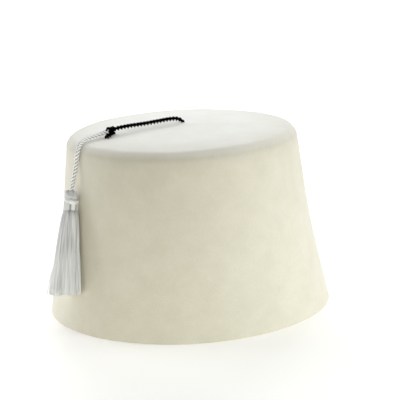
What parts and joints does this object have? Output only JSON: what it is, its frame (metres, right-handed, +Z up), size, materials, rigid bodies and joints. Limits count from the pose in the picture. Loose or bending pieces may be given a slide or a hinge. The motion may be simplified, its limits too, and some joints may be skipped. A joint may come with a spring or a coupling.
{
  "type": "fez",
  "caption": "Brimless felt hat, a truncated cone open below, with a tassel hung from the middle of its top on a knotted cord.",
  "frame": {"origin": "middle of the rim, on the surface that the hat stands on", "axes": "+Z up the crown's axis, -Y towards the front, the tassel on the -X side towards the front"},
  "size_m": [0.1898, 0.1898, 0.1276],
  "materials": {
    "wool_felt": "matt, lightly napped",
    "black_cotton": "matt twisted cord",
    "white_rayon": "satin thread"
  },
  "bodies": {
    "root": {"felt_crown": "wool_felt", "black_cord": "black_cotton", "stop_knot": "black_cotton", "black_knot": "black_cotton", "tassel_cord_front": "white_rayon", "tassel_cord_back": "white_rayon", "tassel_head": "white_rayon", "tassel_skirt": "white_rayon"}
  },
  "joints": []
}
